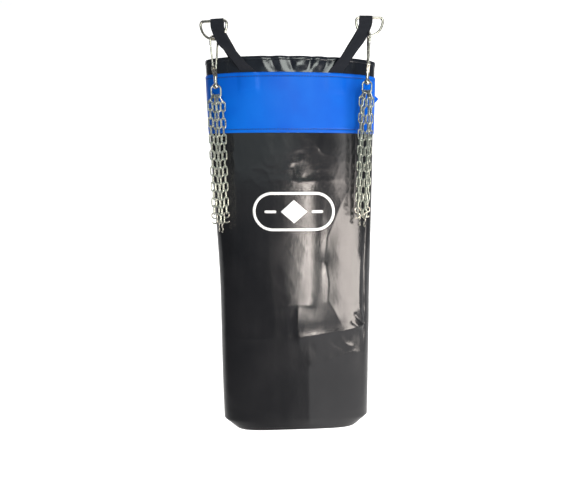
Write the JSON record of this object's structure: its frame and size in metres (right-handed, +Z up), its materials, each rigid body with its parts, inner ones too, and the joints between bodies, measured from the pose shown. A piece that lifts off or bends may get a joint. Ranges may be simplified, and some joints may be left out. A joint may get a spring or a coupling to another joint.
{
  "type": "empty heavy punching bag with hanging chains",
  "caption": "Empty sewn-vinyl heavy bag with a blue top band, webbing hanging loops, and snap-hook chain sets with swivels and S-hooks.",
  "frame": {"origin": "centre of the underside of the bottom panel", "axes": "+Z up to the open mouth, front with the print facing -Y, +X to the viewer's right"},
  "size_m": [0.4402, 0.153, 1.0847],
  "materials": {
    "black_vinyl": "grained black vinyl, semi-gloss",
    "navy_vinyl": "glossy blue-black vinyl",
    "blue_vinyl": "bright blue vinyl, satin",
    "white_print": "screen-printed white ink",
    "black_webbing": "ribbed polypropylene webbing",
    "plated_steel": "bright zinc plate",
    "chain_steel": "zinc-plated chain"
  },
  "bodies": {
    "bag": {"shell_wall": "black_vinyl", "bottom_panel": "black_vinyl", "collar": "navy_vinyl", "rim_binding": "navy_vinyl", "blue_band": "blue_vinyl", "band_side_tab": "blue_vinyl", "back_seam_strip": "black_vinyl", "emblem_print": "white_print", "strap_loop_right": "black_webbing", "d_ring_right": "plated_steel", "strap_loop_left": "black_webbing", "d_ring_left": "plated_steel"},
    "hook_right": {"snap_hook_body_right": "plated_steel", "gate_pin_right": "plated_steel"},
    "gate_right": {"snap_gate_right": "plated_steel"},
    "swivel_right": {"swivel_eye_right": "plated_steel"},
    "connector_right": {"connector_link_right": "chain_steel"},
    "strand_right_1": {"chain_strand_right_1": "chain_steel"},
    "s_hook_right_1": {"s_hook_right_1": "plated_steel"},
    "strand_right_2": {"chain_strand_right_2": "chain_steel"},
    "s_hook_right_2": {"s_hook_right_2": "plated_steel"},
    "strand_right_3": {"chain_strand_right_3": "chain_steel"},
    "s_hook_right_3": {"s_hook_right_3": "plated_steel"},
    "strand_right_4": {"chain_strand_right_4": "chain_steel"},
    "s_hook_right_4": {"s_hook_right_4": "plated_steel"},
    "hook_left": {"snap_hook_body_left": "plated_steel", "gate_pin_left": "plated_steel"},
    "gate_left": {"snap_gate_left": "plated_steel"},
    "swivel_left": {"swivel_eye_left": "plated_steel"},
    "connector_left": {"connector_link_left": "chain_steel"},
    "strand_left_1": {"chain_strand_left_1": "chain_steel"},
    "s_hook_left_1": {"s_hook_left_1": "plated_steel"},
    "strand_left_2": {"chain_strand_left_2": "chain_steel"},
    "s_hook_left_2": {"s_hook_left_2": "plated_steel"},
    "strand_left_3": {"chain_strand_left_3": "chain_steel"},
    "s_hook_left_3": {"s_hook_left_3": "plated_steel"},
    "strand_left_4": {"chain_strand_left_4": "chain_steel"},
    "s_hook_left_4": {"s_hook_left_4": "plated_steel"}
  },
  "joints": [
    {"name": "hook_swing_right", "type": "hinge", "parent": "bag", "child": "hook_right", "pos_m": [0.178, -0.072, 1.042], "axis": [-1, 0, 0], "range_deg": [0, 60]},
    {"name": "gate_hinge_right", "type": "hinge", "parent": "hook_right", "child": "gate_right", "pos_m": [0.178, -0.0775, 0.979], "axis": [-1, 0, 0], "range_deg": [0, 16], "stiffness_Nm_per_rad": 0.15, "springref_deg": -8.59},
    {"name": "swivel_spin_right", "type": "hinge", "parent": "hook_right", "child": "swivel_right", "pos_m": [0.178, -0.072, 0.948], "axis": [0, 0, 1], "continuous": true},
    {"name": "connector_swing_right", "type": "hinge", "parent": "swivel_right", "child": "connector_right", "pos_m": [0.178, -0.072, 0.9415], "axis": [-1, 0, 0], "range_deg": [0, 35]},
    {"name": "strand_swing_right_1", "type": "hinge", "parent": "connector_right", "child": "strand_right_1", "pos_m": [0.1708, -0.072, 0.91816], "axis": [-1, 0, 0], "range_deg": [0, 12]},
    {"name": "s_hook_swing_right_1", "type": "hinge", "parent": "strand_right_1", "child": "s_hook_right_1", "pos_m": [0.16396, -0.07976, 0.64073], "axis": [0, 1, 0], "range_deg": [0, 40]},
    {"name": "strand_swing_right_2", "type": "hinge", "parent": "connector_right", "child": "strand_right_2", "pos_m": [0.17575, -0.072, 0.917], "axis": [1, 0, 0], "range_deg": [0, 2.5]},
    {"name": "s_hook_swing_right_2", "type": "hinge", "parent": "strand_right_2", "child": "s_hook_right_2", "pos_m": [0.17331, -0.06411, 0.61902], "axis": [1, 0, 0], "range_deg": [0, 40]},
    {"name": "strand_swing_right_3", "type": "hinge", "parent": "connector_right", "child": "strand_right_3", "pos_m": [0.18025, -0.072, 0.917], "axis": [-1, 0, 0], "range_deg": [0, 12]},
    {"name": "s_hook_swing_right_3", "type": "hinge", "parent": "strand_right_3", "child": "s_hook_right_3", "pos_m": [0.18269, -0.07989, 0.61902], "axis": [-1, 0, 0], "range_deg": [0, 40]},
    {"name": "strand_swing_right_4", "type": "hinge", "parent": "connector_right", "child": "strand_right_4", "pos_m": [0.1852, -0.072, 0.91816], "axis": [1, 0, 0], "range_deg": [0, 2.5]},
    {"name": "s_hook_swing_right_4", "type": "hinge", "parent": "strand_right_4", "child": "s_hook_right_4", "pos_m": [0.19204, -0.06424, 0.64073], "axis": [0, -1, 0], "range_deg": [0, 40]},
    {"name": "hook_swing_left", "type": "hinge", "parent": "bag", "child": "hook_left", "pos_m": [-0.178, -0.072, 1.03], "axis": [-0.9781, 0.2079, 0], "range_deg": [0, 60]},
    {"name": "gate_hinge_left", "type": "hinge", "parent": "hook_left", "child": "gate_left", "pos_m": [-0.18189, -0.07589, 0.967], "axis": [-0.7071, 0.7071, 0], "range_deg": [0, 16], "stiffness_Nm_per_rad": 0.15, "springref_deg": -8.59},
    {"name": "swivel_spin_left", "type": "hinge", "parent": "hook_left", "child": "swivel_left", "pos_m": [-0.178, -0.072, 0.936], "axis": [0, 0, 1], "continuous": true},
    {"name": "connector_swing_left", "type": "hinge", "parent": "swivel_left", "child": "connector_left", "pos_m": [-0.178, -0.072, 0.9295], "axis": [-1, 0, 0], "range_deg": [0, 35]},
    {"name": "strand_swing_left_1", "type": "hinge", "parent": "connector_left", "child": "strand_left_1", "pos_m": [-0.1852, -0.072, 0.90616], "axis": [-1, 0, 0], "range_deg": [0, 12]},
    {"name": "s_hook_swing_left_1", "type": "hinge", "parent": "strand_left_1", "child": "s_hook_left_1", "pos_m": [-0.19204, -0.07976, 0.62873], "axis": [0, 1, 0], "range_deg": [0, 40]},
    {"name": "strand_swing_left_2", "type": "hinge", "parent": "connector_left", "child": "strand_left_2", "pos_m": [-0.18025, -0.072, 0.905], "axis": [1, 0, 0], "range_deg": [0, 2.5]},
    {"name": "s_hook_swing_left_2", "type": "hinge", "parent": "strand_left_2", "child": "s_hook_left_2", "pos_m": [-0.18269, -0.06411, 0.60702], "axis": [1, 0, 0], "range_deg": [0, 40]},
    {"name": "strand_swing_left_3", "type": "hinge", "parent": "connector_left", "child": "strand_left_3", "pos_m": [-0.17575, -0.072, 0.905], "axis": [-1, 0, 0], "range_deg": [0, 12]},
    {"name": "s_hook_swing_left_3", "type": "hinge", "parent": "strand_left_3", "child": "s_hook_left_3", "pos_m": [-0.17331, -0.07989, 0.60702], "axis": [-1, 0, 0], "range_deg": [0, 40]},
    {"name": "strand_swing_left_4", "type": "hinge", "parent": "connector_left", "child": "strand_left_4", "pos_m": [-0.1708, -0.072, 0.90616], "axis": [1, 0, 0], "range_deg": [0, 2.5]},
    {"name": "s_hook_swing_left_4", "type": "hinge", "parent": "strand_left_4", "child": "s_hook_left_4", "pos_m": [-0.16396, -0.06424, 0.62873], "axis": [0, -1, 0], "range_deg": [0, 40]}
  ]
}
